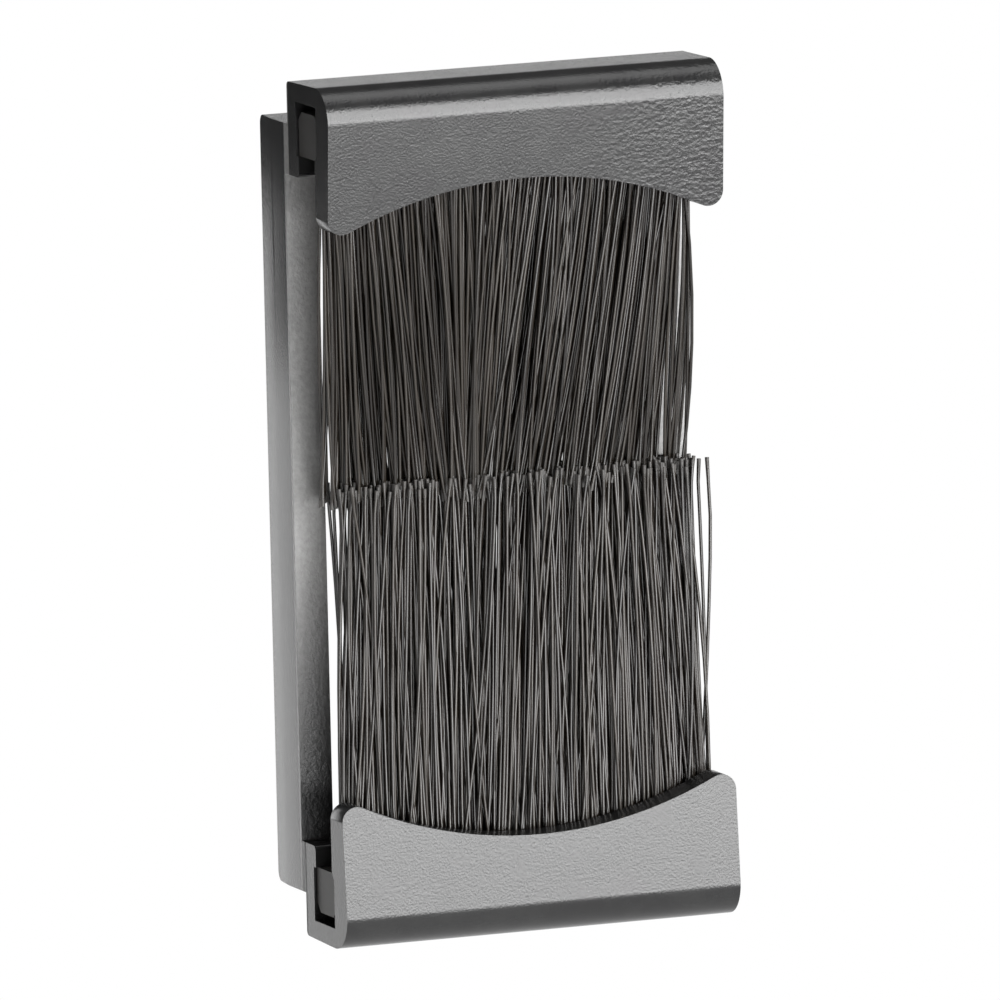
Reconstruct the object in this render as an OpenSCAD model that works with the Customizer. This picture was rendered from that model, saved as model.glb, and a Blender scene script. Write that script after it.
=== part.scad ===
// Brush cable-entry module for a modular faceplate: a one-piece moulded carrier
// with two facing channels, and a slide-in brush strip in each channel.
// Millimetres. X runs across the module, -Y is its front, +Z is up.
// The origin is the centre of the plane in which the module seats on its faceplate.

/* [Module] */
// Width of the module
module_w = 24.5; // [20:0.5:40]
// Height of the front, from end face to end face
module_h = 50; // [46:0.5:64]
// Depth from the front of the lips back to the seating shoulders
front_d = 6.4; // [6.2:0.1:8]
// Depth from the seating shoulders back to the rear face
rear_d = 4.9; // [4.2:0.1:10]
// Draft on the two end faces, in degrees
end_draft = 1.4; // [0:0.1:3]
// Radius of the long corner between each end face and the front
nose_r = 2; // [0.5:0.1:2.5]

/* [Rear frame] */
// Height of each seating shoulder, from the rear frame out to the end face
shoulder_h = 2.6; // [1.8:0.1:3.2]
// Height of the rear frame's upper and lower beams
beam_h = 2.95; // [2.2:0.05:3.5]
// Width of each side rail
rail_w = 1.85; // [1.2:0.05:3]
// Set-back of the rails' outer front edges behind the seating shoulders
rail_setback = 0.45; // [0.2:0.05:1.5]
// Slope of the rails' front faces, which fall away towards the outside, in degrees
rail_slope = 8; // [0:0.5:10]
// Amount by which each side draws in at the rear face
side_taper = 0.22; // [0.05:0.01:0.5]
// Depth of that drawn-in stretch
taper_d = 2.2; // [1:0.1:3]
// Radius of the rear frame's long edges
body_r = 0.6; // [0.2:0.05:1]

/* [Snap ridges] */
// Width of the snap ridge on each end of the rear frame
snap_w = 9; // [4:0.5:16]
// Height of the snap ridge above the rear frame
snap_h = 0.5; // [0.2:0.05:0.8]
// Faceplate ledge held between the seating shoulder and the snap ridge
ledge_t = 2.1; // [1.5:0.1:2.3]
// Length of the ridge's lead-in ramp
snap_ramp = 1.9; // [1:0.1:2]

/* [Brush channels] */
// Thickness of the end wall over each channel
end_wall = 1.15; // [0.8:0.05:1.6]
// Thickness of the lip where it leaves the end wall
lip_t = 1.95; // [1.4:0.05:2.2]
// Channel from the inside of the lip to its back wall
slot_d = 3.15; // [2.8:0.05:3.3]
// Channel from the end wall down to its retaining beads
slot_h = 3.15; // [2.8:0.05:3.3]
// Bead inside the lip, which narrows the mouth of the channel
lip_bead = 0.3; // [0.2:0.05:0.4]
// Bead on the back wall, opposite the one inside the lip
rib_bead = 0.35; // [0.2:0.05:0.4]
// Reach of the lip from the end face to its lowest corners
lip_reach = 8.4; // [7:0.1:9]
// Lean of the lip's front face, in degrees
lip_lean = 4; // [0:0.5:5]
// Radius of the hollow along the lip's free edge
hollow_r = 26; // [24:0.5:40]
// Radius of the lip's lower corners
corner_r = 0.9; // [0.5:0.1:1.5]
// Small radius on the channel's outer edges
edge_r = 0.3; // [0.1:0.05:0.4]

/* [Brushes] */
// Height of the bar that holds the filaments
backing_h = 2.6; // [2.2:0.1:2.7]
// Running clearance of the bar in its channel, on each side
backing_gap = 0.1; // [0.05:0.05:0.2]
// Distance from the module's side to the end of the bar
backing_inset = 0.15; // [0.1:0.05:0.5]
// Chamfer on the bar's back edges
backing_chamfer = 0.5; // [0.2:0.05:0.8]
// Distance from the module's side to the outermost filaments
hair_inset = 0.65; // [0.6:0.05:2]
// Filament diameter
hair_d = 0.2; // [0.1:0.02:0.2]
// Filament spacing along a row
hair_pitch = 0.42; // [0.4:0.01:0.6]
// Spacing of the rows; the upper brush's rows lie midway between the lower brush's
row_pitch = 0.44; // [0.42:0.02:0.8]
// Height above the module's middle at which the two brushes meet
meet_z = 0.9; // [-2:0.1:2]
// Stretch over which the tips of the two brushes pass each other
brush_overlap = 1; // [0:0.1:3]
// Largest sideways lean of the upper filaments, in degrees
hair_lean = 3; // [0:0.5:3]
// Sideways shift of the lower filaments
lower_shift = 0.3; // [-0.3:0.05:0.3]
// Spread in the length of the filaments
length_spread = 0.5; // [0:0.1:0.8]

/* [Hidden] */
$fn = 64;
cut = 1;                                    // how far a cutter runs past what it cuts
half_w = module_w / 2;
half_h = module_h / 2;
front_y = -front_d;
slot_y0 = front_y + lip_t;                  // inside of the lip
slot_y1 = slot_y0 + slot_d;                 // back wall of the channel
mouth_y0 = slot_y0 + lip_bead;
mouth_y1 = slot_y1 - rib_bead;
slot_top = half_h - end_wall;
bead_z = slot_top - slot_h;                 // top of the beads, where the bar sits
body_z = half_h - shoulder_h;
window_z = body_z - beam_h;
lip_z = half_h - lip_reach;
// Centre of the lip's rounded corner, and of the hollow that all but touches it there
corner_x = half_w - corner_r;
corner_z = lip_z + corner_r;
blend = 0.001;                              // their overlap, which leaves no sliver between them
hollow_z = corner_z - sqrt(pow(hollow_r + corner_r - blend, 2) - pow(corner_x, 2));
// Brushes
backing_len = module_w - 2 * backing_inset;
backing_y0 = slot_y0 + backing_gap;
backing_y1 = slot_y1 - backing_gap;
hair_rows = floor((mouth_y1 - mouth_y0 - 2 * backing_gap) / row_pitch);
pack_y0 = (mouth_y0 + mouth_y1 - hair_rows * row_pitch) / 2;
hair_span = module_w - 2 * hair_inset;
hairs = floor((hair_span - hair_d) / hair_pitch + 0.5);
upper_len = bead_z - meet_z + brush_overlap / 2;
lower_len = bead_z + meet_z + brush_overlap / 2;
seed = 7;

// Extrudes a Y-Z outline along X, centred on the module
module along_x(width) {
    rotate([90, 0, 90])
        translate([0, 0, -width / 2])
            linear_extrude(width) children();
}

// Extrudes an X-Z outline backwards from y0
module along_y(y0, depth) {
    translate([0, y0 + depth, 0])
        rotate([90, 0, 0])
            linear_extrude(depth) children();
}

// What a fillet of radius r takes off a square corner at [y, z]; sy and sz point into the solid
module fillet_waste(y, z, sy, sz, r) {
    translate([y, z])
        scale([sy, sz])
            difference() {
                translate([-cut, -cut]) square(r + cut);
                translate([r, r]) circle(r);
            }
}

// Side outline of the upper channel, lip and beam
module channel_outline() {
    lean_y = front_y + (half_h - nose_r - lip_z) * tan(lip_lean);
    draft_z = half_h - (front_d - nose_r) * tan(end_draft);
    difference() {
        polygon([
            [front_y, half_h], [front_y, half_h - nose_r], [lean_y, lip_z],
            [mouth_y0, lip_z], [mouth_y0, bead_z], [slot_y0, bead_z + lip_bead],
            [slot_y0, slot_top], [slot_y1, slot_top], [slot_y1, bead_z], [mouth_y1, bead_z],
            [mouth_y1, window_z], [rear_d, window_z], [rear_d, body_z], [0, body_z],
            [0, draft_z], [front_y + nose_r, half_h]
        ]);
        fillet_waste(front_y, half_h, 1, -1, nose_r);
        fillet_waste(0, draft_z, -1, -1, edge_r);
        fillet_waste(rear_d, body_z, -1, -1, body_r);
        fillet_waste(mouth_y1, window_z, 1, 1, edge_r);
    }
}

// What the rounded corner takes off the lip, up to the line on which it meets the hollow
module corner_waste() {
    to_hollow = [-corner_x, hollow_z - corner_z] / (hollow_r + corner_r);
    past_hollow = [corner_x, corner_z] + 3 * corner_r * to_hollow;
    difference() {
        polygon([
            [corner_x, corner_z], past_hollow, [past_hollow[0], lip_z - 2 * cut],
            [half_w + cut, lip_z - 2 * cut], [half_w + cut, corner_z]
        ]);
        translate([corner_x, corner_z]) circle(corner_r);
    }
}

// Everything in front of the channel that the lip's hollow edge and rounded corners leave free
module lip_waste() {
    translate([0, hollow_z]) circle(hollow_r, $fn = 180);
    for (side = [0, 1])
        mirror([side, 0]) corner_waste();
}

module channel() {
    difference() {
        along_x(module_w) channel_outline();
        along_y(front_y - cut, mouth_y1 - front_y) lip_waste();
    }
}

// Snap ridge on the upper end of the rear frame: steep towards the ledge, with a lead-in ramp
module snap_ridge() {
    along_x(snap_w)
        polygon([
            [ledge_t, body_z - cut], [ledge_t, body_z + snap_h],
            [ledge_t + snap_h / 2, body_z + snap_h], [ledge_t + snap_ramp, body_z],
            [ledge_t + snap_ramp, body_z - cut]
        ]);
}

// Both side rails, running from beam to beam
module rails() {
    inner_x = half_w - rail_w;
    for (side = [0, 1])
        mirror([side, 0, 0])
            translate([0, 0, -window_z - cut])
                linear_extrude(2 * (window_z + cut))
                    polygon([
                        [half_w, rail_setback], [half_w, rear_d], [inner_x, rear_d],
                        [inner_x, rail_setback - rail_w * tan(rail_slope)]
                    ]);
}

// Wedges that draw the sides in towards the rear face
module taper_waste() {
    slope = side_taper / taper_d;
    for (side = [0, 1])
        mirror([side, 0, 0])
            translate([0, 0, -half_h])
                linear_extrude(module_h)
                    polygon([
                        [half_w, rear_d - taper_d], [half_w + cut, rear_d - taper_d],
                        [half_w + cut, rear_d + cut], [half_w - slope * (taper_d + cut), rear_d + cut]
                    ]);
}

module carrier_frame() {
    color([0.1, 0.1, 0.1])
        difference() {
            union() {
                for (end = [0, 1])
                    mirror([0, 0, end]) {
                        channel();
                        snap_ridge();
                    }
                rails();
            }
            taper_waste();
        }
}

// Bar that slides along the upper channel and rests on its beads
module backing() {
    chamfer = min(backing_chamfer, backing_h / 3);
    top = bead_z + backing_h;
    along_x(backing_len)
        polygon([
            [backing_y0, bead_z + lip_bead + backing_gap], [backing_y0, top - chamfer],
            [backing_y0 + chamfer, top], [backing_y1 - chamfer, top], [backing_y1, top - chamfer],
            [backing_y1, bead_z], [mouth_y0 + backing_gap, bead_z]
        ]);
}

// One brush's filaments below its bar, row by row; phase is the first row's place in a row pitch
module filaments(length, lean, shift, phase, seed) {
    spread = rands(-length_spread, length_spread, hairs * hair_rows, seed);
    for (row = [0 : hair_rows - 1], i = [0 : hairs - 1]) {
        x = (i - (hairs - 1) / 2 + (row % 2 - 0.5) / 2) * hair_pitch;
        y = pack_y0 + (row + phase) * row_pitch;
        tilt = lean * sin(360 * x / hair_span);
        translate([x + shift, y, bead_z - hair_d / 2 * sin(abs(tilt))])
            rotate([0, tilt, 0])
                translate([0, 0, -length - spread[row * hairs + i]])
                    cylinder(h = length + spread[row * hairs + i], d = hair_d, $fn = 16);
    }
}

module upper_brush_backing() { color([0.16, 0.15, 0.14]) backing(); }

module upper_brush_filaments() {
    color([0.2, 0.19, 0.18]) filaments(upper_len, hair_lean, 0, 0.75, seed);
}

module lower_brush_backing() { color([0.16, 0.15, 0.14]) mirror([0, 0, 1]) backing(); }

module lower_brush_filaments() {
    color([0.24, 0.23, 0.22]) mirror([0, 0, 1]) filaments(lower_len, 0, lower_shift, 0.25, seed + 1);
}

carrier_frame();
upper_brush_backing();
upper_brush_filaments();
lower_brush_backing();
lower_brush_filaments();
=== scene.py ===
# %% [markdown]
# # Brush cable entry module
#
# The object is a small snap-in module, about 25 mm wide and 50 mm high, that fills one place in a faceplate and lets
# thin cables pass between two facing brushes. It has a moulded black carrier, a backing bar pressed into each of the
# carrier's two channels, and a row of stiff nylon filaments held by each bar.
#
# The CAD gives every size. This script keeps the CAD's places, and adds what CAD leaves out: softened mould edges,
# the moulded grain, hundreds of single filaments, and light.

# %% Load the model that the CAD made
import math

import bmesh
import bpy
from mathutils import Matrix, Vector


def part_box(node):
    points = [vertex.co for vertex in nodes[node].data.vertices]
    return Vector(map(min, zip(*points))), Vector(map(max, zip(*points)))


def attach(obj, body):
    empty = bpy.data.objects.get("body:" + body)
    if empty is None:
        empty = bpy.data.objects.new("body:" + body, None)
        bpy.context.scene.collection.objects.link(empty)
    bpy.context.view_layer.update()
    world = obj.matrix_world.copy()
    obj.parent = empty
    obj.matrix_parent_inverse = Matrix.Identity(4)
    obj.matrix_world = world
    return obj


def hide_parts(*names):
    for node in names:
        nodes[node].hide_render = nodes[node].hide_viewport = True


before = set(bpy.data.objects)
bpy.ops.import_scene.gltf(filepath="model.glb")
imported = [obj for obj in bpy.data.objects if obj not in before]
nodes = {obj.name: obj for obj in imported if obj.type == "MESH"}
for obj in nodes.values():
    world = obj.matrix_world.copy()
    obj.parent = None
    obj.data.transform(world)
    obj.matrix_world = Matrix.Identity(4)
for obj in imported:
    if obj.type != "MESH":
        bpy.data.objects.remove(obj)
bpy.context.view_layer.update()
scene = bpy.context.scene
MM = 0.001
frame_low, frame_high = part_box("carrier_frame")
print("carrier", [round(size / MM, 2) for size in frame_high - frame_low], "mm")

# %% [markdown]
# ## A short way to write node trees
#
# Materials and Geometry Nodes are both trees of small steps. Placing each node by hand makes long code that hides the
# sum it stands for. `Flow` wraps one output socket, so that `1 - mask * 0.5` adds the Math nodes for that sum, and its
# one method `node` adds any other node: its settings first, then the values or links of its sockets.

# %% A socket that can be added and multiplied
class Flow:
    def __init__(self, tree, socket=None):
        self.tree, self.socket = tree, socket

    def node(self, kind, settings=None, sockets=None, out=0):
        made = self.tree.nodes.new(kind)
        for name, value in (settings or {}).items():
            setattr(made, name, value)
        for name, value in (sockets or {}).items():
            if isinstance(value, Flow):
                self.tree.links.new(value.socket, made.inputs[name])
            else:
                made.inputs[name].default_value = value
        return Flow(self.tree, made.outputs[out])

    def sum(self, operation, first, second):
        return self.node("ShaderNodeMath", {"operation": operation}, {0: first, 1: second})

    def __add__(self, other): return self.sum("ADD", self, other)
    def __radd__(self, other): return self.sum("ADD", other, self)
    def __sub__(self, other): return self.sum("SUBTRACT", self, other)
    def __rsub__(self, other): return self.sum("SUBTRACT", other, self)
    def __mul__(self, other): return self.sum("MULTIPLY", self, other)
    def __rmul__(self, other): return self.sum("MULTIPLY", other, self)
    def __truediv__(self, other): return self.sum("DIVIDE", self, other)
    def __pow__(self, other): return self.sum("POWER", self, other)


def bend(mapping, points):
    """Give a Float Curve node's curve these points."""
    curve = mapping.curves[0]
    while len(curve.points) < len(points):
        curve.points.new(0.5, 0.5)
    for point, location in zip(curve.points, points):
        point.location = location
    mapping.update()


# %% [markdown]
# ## The camera
#
# The module is seen from far off through a long lens, a little from its left and a little from above, so that its
# upright edges stay almost parallel. Three angles place the camera: how far it is turned about the module, how high it
# looks from, and a small roll, which lets the module lean a little in its frame.

# %% Camera
TURN, RISE, ROLL = math.radians(-21.827), math.radians(8.876), math.radians(-1.333)
DISTANCE, LENS = 1.3202, 826.41
toward = Vector((math.sin(TURN) * math.cos(RISE), -math.cos(TURN) * math.cos(RISE), math.sin(RISE)))
level = Vector((math.cos(TURN), math.sin(TURN), 0))
upright = toward.cross(level)
aim = Vector((0, frame_low.y, 0)) - 2.039 * MM * level + 0.465 * MM * upright
right = math.cos(ROLL) * level + math.sin(ROLL) * upright
above = math.cos(ROLL) * upright - math.sin(ROLL) * level

lens = bpy.data.cameras.new("camera")
lens.lens, lens.sensor_width = LENS, 36
lens.clip_start, lens.clip_end = 0.05, 20
camera = bpy.data.objects.new("camera", lens)
scene.collection.objects.link(camera)
place = camera.matrix_world
for column, axis in enumerate((right, above, toward, aim + DISTANCE * toward)):
    for row in range(3):
        place[row][column] = axis[row]
camera.matrix_world = place
scene.camera = camera
print("camera", [round(value, 3) for value in camera.matrix_world.translation])

# %% [markdown]
# ## Floor and backdrop
#
# A plain pale sweep, as in a small product studio: a floor that bends up into a wall. The module is made to be held in
# a faceplate, so it is shown clear of the floor. A Light Path node makes the sweep plain white where the camera, or a
# reflection, looks straight at it; for all other light it is an ordinary pale surface that takes shadows.

# %% Sweep
FLOOR = -0.16


def sheet_mesh(name, rows):
    mesh = bpy.data.meshes.new(name)
    width = len(rows[0])
    points = [point for row in rows for point in row]
    faces = [(r * width + c, r * width + c + 1, (r + 1) * width + c + 1, (r + 1) * width + c)
             for r in range(len(rows) - 1) for c in range(width - 1)]
    mesh.from_pydata(points, [], faces)
    mesh.polygons.foreach_set("use_smooth", [True] * len(faces))
    made = bpy.data.objects.new(name, mesh)
    scene.collection.objects.link(made)
    return made


def sweep_point(radius, height, angle):
    return (radius * math.sin(angle), radius * math.cos(angle), height)


profile = [(0.0001, FLOOR), (0.6, FLOOR), (1.2, FLOOR), (1.8, FLOOR), (1.95, FLOOR + 0.02), (2.02, FLOOR + 0.07),
           (2.05, FLOOR + 0.16), (2.05, FLOOR + 0.55)]
sweep = sheet_mesh("sweep", [[sweep_point(radius, height, math.tau * step / 72) for step in range(73)]
                             for radius, height in profile])
paper = bpy.data.materials.new("pale_paper")
paper.use_nodes = True
tree = paper.node_tree
tree.nodes.clear()
flow = Flow(tree)
diffuse = flow.node("ShaderNodeBsdfDiffuse", {}, {"Color": (0.82, 0.82, 0.82, 1)})
glow = flow.node("ShaderNodeEmission", {}, {"Color": (1, 1, 1, 1), "Strength": 1.0})
seen = flow.node("ShaderNodeLightPath", out=0)
tree.nodes.new("ShaderNodeOutputMaterial")
mirror = Flow(tree, seen.socket.node.outputs["Is Glossy Ray"])
through = Flow(tree, seen.socket.node.outputs["Is Transmission Ray"])
straight = flow.sum("MAXIMUM", flow.sum("MAXIMUM", seen, mirror), through)
mixed = flow.node("ShaderNodeMixShader", {}, {0: straight, 1: diffuse, 2: glow})
tree.links.new(mixed.socket, tree.nodes["Material Output"].inputs["Surface"])
sweep.data.materials.append(paper)
print("sweep", len(sweep.data.polygons), "faces, floor", FLOOR, "m")

# %% [markdown]
# ## Soft studio light
#
# Black plastic shows its form almost only by what it mirrors, so each lamp is placed by the face that should mirror
# it. A tall soft box stands to the front right: the flat fronts, the rounded noses and the filaments pick it up. A
# wide box above fills the tops, and two small ones at the back left run along the left flank. An area lamp's power is
# its brightness times its area times pi, so the helper takes a brightness and works the power out.

# %% Lamps
def direction(turn, rise):
    turn, rise = math.radians(turn), math.radians(rise)
    return Vector((math.sin(turn) * math.cos(rise), -math.cos(turn) * math.cos(rise), math.sin(rise)))


def soft_box(name, turn, rise, distance, wide, high, brightness, around=Vector((0, 0, 0))):
    data = bpy.data.lights.new(name, "AREA")
    data.shape, data.size, data.size_y = "RECTANGLE", wide, high
    data.energy = brightness * wide * high * math.pi
    lamp = bpy.data.objects.new(name, data)
    scene.collection.objects.link(lamp)
    lamp.location = around + distance * direction(turn, rise)
    lamp.rotation_euler = direction(turn, rise).to_track_quat("Z", "Y").to_euler()
    lamp.visible_camera = False
    return lamp


soft_box("key_box", 24, 18.5, 0.9, 0.34, 0.66, 10.3)
soft_box("low_box", 8, -5.8, 0.9, 1.1, 0.21, 7.3)
soft_box("top_box", 60, 76, 0.8, 0.7, 0.35, 1.9)
side = Vector((frame_low.x, 0, 0))
soft_box("flank_box", -157, -9, 0.06, 0.024, 0.048, 1.25, side + Vector((0, 0, -0.0150)))
soft_box("rear_box", -172, -9, 0.06, 0.014, 0.058, 1.5, side + Vector((0, 0, -0.0104)))

# %% [markdown]
# A black card, called a flag in a studio, keeps the upper left end of the module dark: it hides the pale room from
# those faces. This one stands just behind the flank box, and the camera doesn't see it.

# %% Black card behind the flank box
card_back = direction(-160, -9)
card_across = card_back.cross(Vector((0, 0, 1))).normalized()
card_up = card_across.cross(card_back)
corners = [side + 0.085 * card_back + wide * card_across + high * card_up
           for wide, high in ((-0.05, -0.06), (0.05, -0.06), (0.05, 0.05), (-0.05, 0.05))]
card = sheet_mesh("black_card", [corners[:2], [corners[3], corners[2]]])
felt = bpy.data.materials.new("black_felt")
felt.use_nodes = True
felt.node_tree.nodes["Principled BSDF"].inputs["Base Color"].default_value = (0.05, 0.05, 0.05, 1)
felt.node_tree.nodes["Principled BSDF"].inputs["Roughness"].default_value = 1.0
card.data.materials.append(felt)
card.visible_camera = False

world = bpy.data.worlds.new("studio")
scene.world = world
world.use_nodes = True
world.node_tree.nodes["Background"].inputs["Color"].default_value = (1, 1, 1, 1)
world.node_tree.nodes["Background"].inputs["Strength"].default_value = 0.12
scene.view_settings.view_transform = "Standard"

# %% [markdown]
# ## The carrier
#
# The carrier is one moulding: two hooked channels joined by two slim rails. The CAD solid has the true shape with a
# few main roundings, but a mould leaves no edge quite sharp, and black plastic shows each edge as a thin bright line.
# So the piece is a copy of the CAD mesh, with its loose triangles merged and its flat faces joined, and a narrow bevel
# on every edge that is still sharp. Building it again from nothing would only risk a different size.

# %% Copy the carrier's mesh and soften its edges
def merged_copy(node, name, flat=0.4):
    mesh = nodes[node].data.copy()
    mesh.name = name
    work = bmesh.new()
    work.from_mesh(mesh)
    bmesh.ops.remove_doubles(work, verts=work.verts, dist=0.002 * MM)
    bmesh.ops.dissolve_degenerate(work, edges=work.edges, dist=0.002 * MM)
    bmesh.ops.dissolve_limit(work, angle_limit=math.radians(flat), verts=work.verts, edges=work.edges,
                             use_dissolve_boundaries=False)
    work.to_mesh(mesh)
    work.free()
    mesh.materials.clear()
    made = bpy.data.objects.new(name, mesh)
    scene.collection.objects.link(made)
    return made


def soften(piece, width, steps=2, degrees=28):
    """A narrow bevel on the sharp edges; flat faces then keep their own straight shading."""
    piece.data.polygons.foreach_set("use_smooth", [True] * len(piece.data.polygons))
    bevel = piece.modifiers.new("mould_edges", "BEVEL")
    bevel.width, bevel.segments = width, steps
    bevel.limit_method, bevel.angle_limit = "ANGLE", math.radians(degrees)
    bevel.miter_outer = "MITER_ARC"
    flats = piece.modifiers.new("flat_faces_lead", "WEIGHTED_NORMAL")
    flats.mode, flats.weight, flats.keep_sharp = "FACE_AREA", 100, True


def settled(piece):
    """The piece's mesh with its modifiers applied, as a plain mesh."""
    bpy.context.view_layer.update()
    graph = bpy.context.evaluated_depsgraph_get()
    mesh = bpy.data.meshes.new_from_object(piece.evaluated_get(graph))
    piece.modifiers.clear()
    piece.data = mesh
    mesh.name = piece.name
    return piece


carrier = merged_copy("carrier_frame", "carrier_moulding")
soften(carrier, 0.13 * MM)
settled(carrier)
print("carrier moulding", len(carrier.data.polygons), "faces")

# %% [markdown]
# ## Grained black plastic
#
# The mould was spark-eroded, which leaves an even, very fine grain that breaks up the gloss, and the end of the upper
# lip shows a coarser, leather-like patch of it. The colour is a plain black, except on the rails' front faces, which
# get a paler tone of painted light that stands in for light the filaments keep from them. All patterns are 3-D noise
# on Object coordinates, so they run over every edge without a seam.

# %% Plastic for the carrier
def new_material(name, preview):
    made = bpy.data.materials.new(name)
    made.use_nodes = True
    made.diffuse_color = (*preview, 1)
    shader = made.node_tree.nodes["Principled BSDF"]
    return made, Flow(made.node_tree), shader


def noise(flow, where, size, detail=2.0, rough=0.5):
    """Noise whose blobs are about size metres across."""
    return flow.node("ShaderNodeTexNoise", {}, {"Vector": where, "Scale": 1 / size, "Detail": detail,
                                                "Roughness": rough})


def band(flow, value, low, high):
    return flow.node("ShaderNodeMapRange", {"interpolation_type": "SMOOTHSTEP"},
                     {"Value": value, "From Min": low, "From Max": high})


def blend_colours(flow, factor, first, second):
    return flow.node("ShaderNodeMix", {"data_type": "RGBA"}, {0: factor, 6: (*first, 1), 7: (*second, 1)}, 2)


plastic, flow, shader = new_material("frame_plastic", (0.02, 0.02, 0.021))
here = flow.node("ShaderNodeTexCoord", out=3)
across = flow.node("ShaderNodeSeparateXYZ", {}, {0: here}, 0)
deep = flow.node("ShaderNodeSeparateXYZ", {}, {0: here}, 1)
tall = flow.node("ShaderNodeSeparateXYZ", {}, {0: here}, 2)
grain = noise(flow, here, 0.13 * MM, 2.0, 0.5)
mottle = noise(flow, here, 2.2 * MM, 3.0, 0.55)
stretched = flow.node("ShaderNodeMapping", {}, {"Vector": here, "Scale": (0.7, 0.8, 1)})
hide = flow.node("ShaderNodeTexVoronoi", {"feature": "SMOOTH_F1"},
                 {"Vector": stretched, "Scale": 1 / (0.25 * MM), "Smoothness": 0.3})
hide = hide + 0.6 * noise(flow, stretched, 0.14 * MM)
# the hide pattern fades in towards the right end of the upper lip
patch = band(flow, across, 0.5 * MM, 10 * MM) * band(flow, tall, 14 * MM, 16 * MM)
# the rails' front faces, and the sides' upper rear, are coarser still
edge = flow.sum("ABSOLUTE", across, 0)
rails = (band(flow, edge, 9.9 * MM, 10.3 * MM) * band(flow, deep, -0.2 * MM, 0.0)
         * (1 - band(flow, deep, 0.5 * MM, 0.7 * MM)))
flanks = (band(flow, edge, 11.8 * MM, 12.0 * MM) * band(flow, deep, 2.5 * MM, 2.8 * MM)
          * band(flow, tall, 8 * MM, 18 * MM))
coarse = noise(flow, here, 0.3 * MM, 3.0, 0.6)
height = (0.42 * grain + 0.42 * patch * hide + (1.1 * rails + 0.7 * flanks) * coarse)
tree = plastic.node_tree
plain = blend_colours(flow, band(flow, mottle, 0.35, 0.7), (0.015, 0.015, 0.0155), (0.022, 0.022, 0.022))
# painted light: a paler colour on the rails' fronts stands in for the light that the filaments keep from them; it
# fades out downwards
painted_light_mask = 1.2 * rails * (0.45 + 0.55 * coarse) * band(flow, tall, -18 * MM, 2 * MM)
# the painted light's pale grey, mixed into the plastic's black by that mask
painted_light_colour = flow.node("ShaderNodeMix", {"data_type": "RGBA"}, {0: painted_light_mask, 6: plain, 7: (0.42, 0.416, 0.41, 1)}, 2)
tree.links.new(painted_light_colour.socket, shader.inputs["Base Color"])
tree.links.new((0.20 + 0.06 * mottle + 0.12 * rails).socket, shader.inputs["Roughness"])
shader.inputs["IOR"].default_value = 1.54
bump = flow.node("ShaderNodeBump", {}, {"Strength": 1.0, "Distance": 0.03 * MM, "Height": height})
tree.links.new(bump.socket, shader.inputs["Normal"])
carrier.data.materials.append(plastic)
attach(carrier, "root")
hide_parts("carrier_frame")
print("frame_plastic", len(tree.nodes), "nodes")

# %% [markdown]
# ## Backing bars
#
# Each brush is held by a bar that is pressed into its channel. Little of it is seen: its ends and the narrow faces
# beside the filaments. The CAD solid has the right shape, so it stays as it is and only gets a finish, a duller and
# slightly browner plastic than the carrier's, with faint lines along it from being drawn through a die.

# %% Finish for the bars
bar_plastic, flow, shader = new_material("bar_plastic", (0.03, 0.028, 0.026))
here = flow.node("ShaderNodeTexCoord", out=3)
along = flow.node("ShaderNodeMapping", {}, {"Vector": here, "Scale": (0.06, 1, 1)})
lines = noise(flow, along, 0.12 * MM, 2.0)
tree = bar_plastic.node_tree
tree.links.new(blend_colours(flow, lines, (0.020, 0.019, 0.018), (0.040, 0.037, 0.034)).socket,
               shader.inputs["Base Color"])
tree.links.new((0.42 + 0.16 * lines).socket, shader.inputs["Roughness"])
bump = flow.node("ShaderNodeBump", {}, {"Strength": 0.4, "Distance": 0.01 * MM, "Height": lines})
tree.links.new(bump.socket, shader.inputs["Normal"])
for node in ("upper_brush_backing", "lower_brush_backing"):
    nodes[node].data.materials.clear()
    nodes[node].data.materials.append(bar_plastic)
print("bar_plastic", len(tree.nodes), "nodes")

# %% [markdown]
# ## Filaments with Geometry Nodes
#
# Each brush has many hundred nylon filaments, all cut to one length, all a little different: they lean in groups,
# bow a little and cross, and their cut ends are slightly flared. That is what Geometry Nodes are for. One tree lays
# out the roots in rows, gives each filament its own lean, bow and length from seeded random numbers and from a smooth
# noise that neighbours share, bends a short line to that shape, and sweeps a small hexagon along it.

# %% The tree that makes one brush
SWAY_RANGE = 12 * MM  # the drift that the Float Curve's full height stands for
FURTHEST_LEFT, FURTHEST_RIGHT = -12.2 * MM, 12.7 * MM  # no filament leans past these


def group_input(tree, name, kind, value):
    made = tree.interface.new_socket(name, in_out="INPUT", socket_type="NodeSocket" + kind)
    if value is not None:
        made.default_value = value
    return made.identifier


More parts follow.
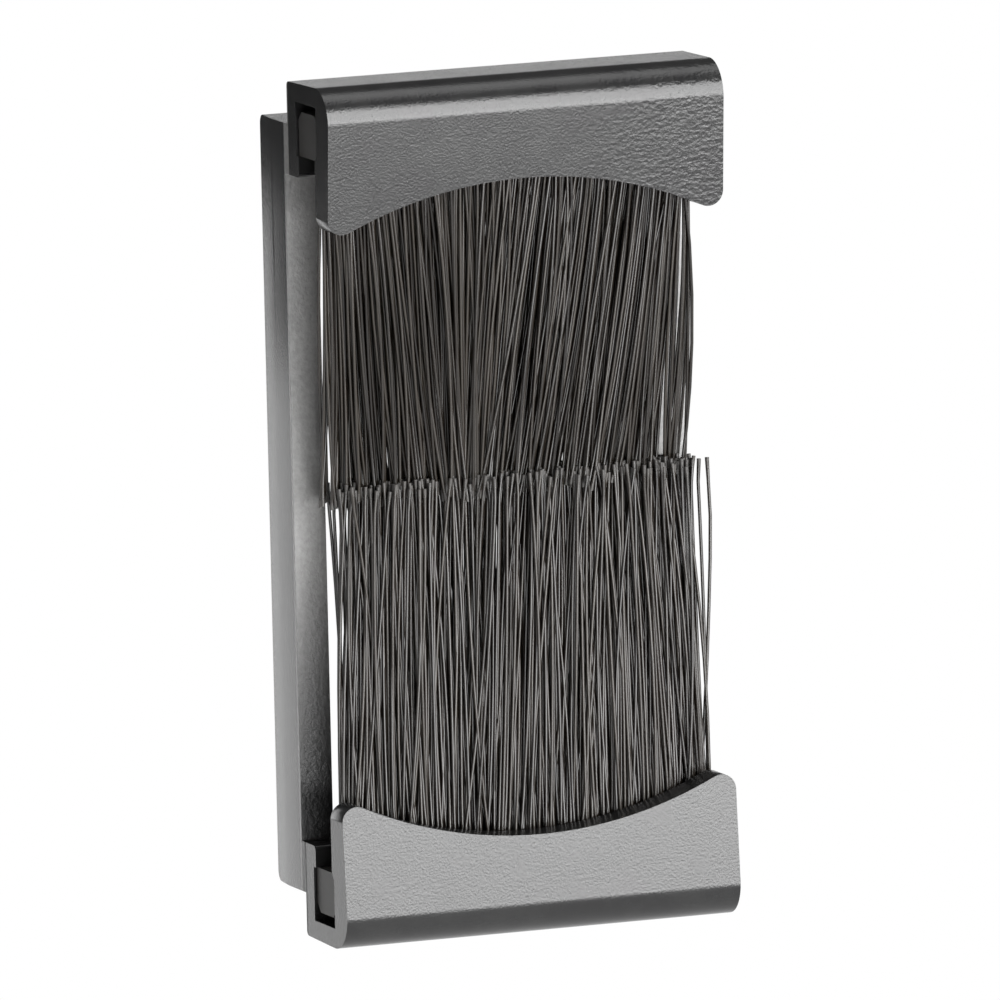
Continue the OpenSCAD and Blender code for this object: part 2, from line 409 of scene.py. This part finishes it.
def brush_tree():
    tree = bpy.data.node_groups.new("brush", "GeometryNodeTree")
    keys = {}
    for name, kind, value in (
            ("Per Row", "Int", 70), ("Rows", "Int", 12), ("Left", "Float", -0.0116), ("Right", "Float", 0.0116),
            ("Front", "Float", -0.0041), ("Back", "Float", -0.0018), ("Root Height", "Float", 0.0207),
            ("Tip Height", "Float", 0.0004), ("Diameter", "Float", 0.0002), ("Uneven Tips", "Float", 0.0003),
            ("Lean Spread", "Float", 0.0011), ("Lean Groups", "Float", 0.0016), ("Bow", "Float", 0.0005),
            ("Tip Setback", "Float", 0.0004), ("Stray Share", "Float", 0.02), ("Stray Lean", "Float", 0.002),
            ("Seed", "Int", 1), ("Material", "Material", None)):
        keys[name] = group_input(tree, name, kind, value)
    tree.interface.new_socket("Geometry", in_out="OUTPUT", socket_type="NodeSocketGeometry")
    entry = tree.nodes.new("NodeGroupInput")
    leave = tree.nodes.new("NodeGroupOutput")
    flow = Flow(tree)
    given = {name: Flow(tree, entry.outputs[name]) for name in keys}

    index = flow.node("GeometryNodeInputIndex")
    row = flow.sum("FLOOR", index / given["Per Row"], 0)
    column = flow.sum("MODULO", index, given["Per Row"])
    turn = [0]

    def chance(low=-1.0, high=1.0):
        turn[0] += 1
        return flow.node("FunctionNodeRandomValue", {"data_type": "FLOAT"},
                         {2: low, 3: high, "ID": index, "Seed": given["Seed"] * 31 + turn[0]}, 1)

    across = (column + 0.5 + 0.5 * flow.sum("MODULO", row, 2) + 0.25 * chance()) / (given["Per Row"] + 0.5)
    deep = (row + 0.5 + 0.3 * chance()) / given["Rows"]
    root_x = given["Left"] + (given["Right"] - given["Left"]) * across
    middle = 0.5 * (given["Front"] + given["Back"])
    rounding = 1 - 0.8 * flow.sum("ABSOLUTE", 2 * across - 1, 0) ** 8
    root_y = middle + (given["Back"] - given["Front"]) * (deep - 0.5) * rounding
    root = flow.node("ShaderNodeCombineXYZ", {}, {0: root_x, 1: root_y, 2: given["Root Height"]})
    roots = flow.node("GeometryNodePoints", {}, {"Count": given["Per Row"] * given["Rows"], "Position": root})

    sway = flow.node("ShaderNodeFloatCurve", {}, {"Value": across})
    sway_name = sway.socket.node.name
    shared = flow.node("ShaderNodeTexNoise", {"noise_dimensions": "2D"},
                       {"Vector": flow.node("ShaderNodeCombineXYZ", {}, {0: root_x, 1: root_y * 0.4,
                                                                         2: given["Seed"] * 1.0}),
                        "Scale": 900.0, "Detail": 2.0})
    stray = flow.node("FunctionNodeCompare", {"data_type": "FLOAT", "operation": "LESS_THAN"},
                      {0: chance(0.0, 1.0), 1: given["Stray Share"]})
    lean_x = ((sway - 0.5) * SWAY_RANGE + given["Lean Groups"] * (2 * shared - 1)
              + given["Lean Spread"] * chance() * flow.sum("ABSOLUTE", chance(), 0)
              + given["Stray Lean"] * stray * chance())
    lean_y = given["Tip Setback"] + 0.35 * given["Lean Spread"] * chance()
    reach = given["Tip Height"] - given["Root Height"] + given["Uneven Tips"] * chance()
    bow_x = given["Bow"] * chance() * (1 + stray)
    bow_y = 0.5 * given["Bow"] * chance()
    hook_x = 0.00012 * chance()
    made = roots
    for name, value in (("reach", reach), ("lean_x", lean_x), ("lean_y", lean_y), ("bow_x", bow_x), ("bow_y", bow_y),
                        ("hook_x", hook_x), ("tone", chance(0.0, 1.0)), ("root_x", root_x), ("root_y", root_y)):
        made = flow.node("GeometryNodeStoreNamedAttribute", {"data_type": "FLOAT", "domain": "POINT"},
                         {"Geometry": made, "Name": name, "Value": value})

    line = flow.node("GeometryNodeCurvePrimitiveLine", {}, {"Start": (0, 0, 0), "End": (0, 0, MM)})
    line = flow.node("GeometryNodeResampleCurve", {}, {"Curve": line, "Count": 9})
    copies = flow.node("GeometryNodeInstanceOnPoints", {}, {"Points": made, "Instance": line})
    curves = flow.node("GeometryNodeRealizeInstances", {}, {"Geometry": copies})

    def kept(name):
        return flow.node("GeometryNodeInputNamedAttribute", {"data_type": "FLOAT"}, {"Name": name})

    share = flow.node("GeometryNodeSplineParameter")
    # the last short stretch is sampled more closely, so that the cut end can flare
    share = 1 - (1 - share) ** 1.35
    arch = 4 * share * (1 - share)
    end = band(flow, share, 0.975, 1.0)
    x = kept("root_x") + kept("lean_x") * share ** 1.15 + kept("bow_x") * arch + kept("hook_x") * end
    x = flow.sum("MAXIMUM", flow.sum("MINIMUM", x, FURTHEST_RIGHT), FURTHEST_LEFT)
    y = kept("root_y") + kept("lean_y") * share + kept("bow_y") * arch
    z = given["Root Height"] + kept("reach") * share
    shaped = flow.node("GeometryNodeSetPosition", {}, {"Geometry": curves, "Position":
                       flow.node("ShaderNodeCombineXYZ", {}, {0: x, 1: y, 2: z})})
    shaped = flow.node("GeometryNodeStoreNamedAttribute", {"data_type": "FLOAT", "domain": "POINT"},
                       {"Geometry": shaped, "Name": "along", "Value": share})
    ring = flow.node("GeometryNodeCurvePrimitiveCircle", {}, {"Resolution": 6, "Radius": 0.5 * given["Diameter"]})
    shaped = flow.node("GeometryNodeSetCurveRadius", {}, {"Curve": shaped, "Radius": 1 + 0.25 * end})
    tubes = flow.node("GeometryNodeCurveToMesh", {}, {"Curve": shaped, "Profile Curve": ring, "Fill Caps": True,
                                                      "Scale": 1 + 0.25 * end})
    tubes = flow.node("GeometryNodeSetShadeSmooth", {}, {"Geometry": tubes})
    whole = flow.node("GeometryNodeRealizeInstances", {}, {"Geometry": tubes})
    whole = flow.node("GeometryNodeSetMaterial", {}, {"Geometry": whole, "Material": given["Material"]})
    tree.links.new(whole.socket, leave.inputs["Geometry"])
    return tree, keys, sway_name


tree, keys, sway_name = brush_tree()
print("brush tree", len(tree.nodes), "nodes")

# %% [markdown]
# ## Nylon
#
# The filaments are black nylon: glossy along their length, slightly warm, and paler where the cut end is bruised. The
# tree left two values on every filament, `tone`, its own random number, and `along`, 0 at the root and 1 at the tip,
# and the material reads both.

# %% Finish for the filaments
nylon, flow, shader = new_material("filament_nylon", (0.03, 0.027, 0.025))
shader.inputs["IOR"].default_value = 1.58
tone = flow.node("ShaderNodeAttribute", {"attribute_name": "tone"}, out=2)
along = flow.node("ShaderNodeAttribute", {"attribute_name": "along"}, out=2)
cut = band(flow, along, 0.988, 0.998)
body = blend_colours(flow, tone, (0.008, 0.006, 0.0045), (0.030, 0.024, 0.018))
worn = flow.node("ShaderNodeMix", {"data_type": "RGBA"}, {0: 0.35 * cut, 6: body, 7: (0.16, 0.155, 0.15, 1)}, 2)
tree_nylon = nylon.node_tree
tree_nylon.links.new(worn.socket, shader.inputs["Base Color"])
tree_nylon.links.new((0.10 + 0.12 * tone + 0.25 * cut).socket, shader.inputs["Roughness"])
here = flow.node("ShaderNodeTexCoord", out=3)
scuffs = noise(flow, here, 0.35 * MM, 2.0)
bump = flow.node("ShaderNodeBump", {}, {"Strength": 0.15, "Distance": 0.006 * MM, "Height": scuffs})
tree_nylon.links.new(bump.socket, shader.inputs["Normal"])
print("filament_nylon", len(tree_nylon.nodes), "nodes")

# %% [markdown]
# ## Two brushes from one tree
#
# The upper brush hangs from its bar and leans in two ways: its left part drifts right as it comes down, and its right
# part drifts left. The lower brush stands almost straight. The drift is a curve over the width, in the tree's Float
# Curve, so each brush has its own copy of the tree. Both are turned into plain meshes at once.

# %% Make the brushes
def brush(name, tree, values, drift):
    own = tree.copy()
    own.name = name
    bend(own.nodes[sway_name].mapping, [(part, 0.5 + shift * MM / SWAY_RANGE) for part, shift in drift])
    holder = bpy.data.objects.new(name, bpy.data.meshes.new(name))
    scene.collection.objects.link(holder)
    made = holder.modifiers.new("brush", "NODES")
    made.node_group = own
    for key, value in values.items():
        made[keys[key]] = value
    made[keys["Material"]] = nylon
    settled(holder)
    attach(holder, "root")
    triangles = sum(len(face.vertices) - 2 for face in holder.data.polygons)
    widths = [vertex.co.x / MM for vertex in holder.data.vertices]
    print(name, triangles, "triangles, x from", round(min(widths), 2), "to", round(max(widths), 2), "mm")
    return holder


upper = brush("upper_filaments", tree, {"Tip Height": 0.4 * MM, "Root Height": 20.7 * MM, "Tip Setback": 1.15 * MM,
                                        "Left": -11.4 * MM, "Right": 11.4 * MM, "Seed": 3},
              [(0, 0.3), (0.1, 1.6), (0.3, 1.2), (0.5, -1.6), (0.7, -2.9), (0.9, -2.6), (1, -0.2)])
lower = brush("lower_filaments", tree, {"Tip Height": 1.4 * MM, "Root Height": -20.7 * MM, "Tip Setback": 0.85 * MM,
                                        "Left": -11.3 * MM, "Right": 11.9 * MM, "Lean Spread": 2.0 * MM, "Seed": 8},
              [(0, 1.6), (0.07, 0.9), (0.2, 0.1), (0.4, 1.2), (0.6, 1.0), (0.8, -0.5), (1, -0.8)])
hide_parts("upper_brush_filaments")
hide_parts("lower_brush_filaments")
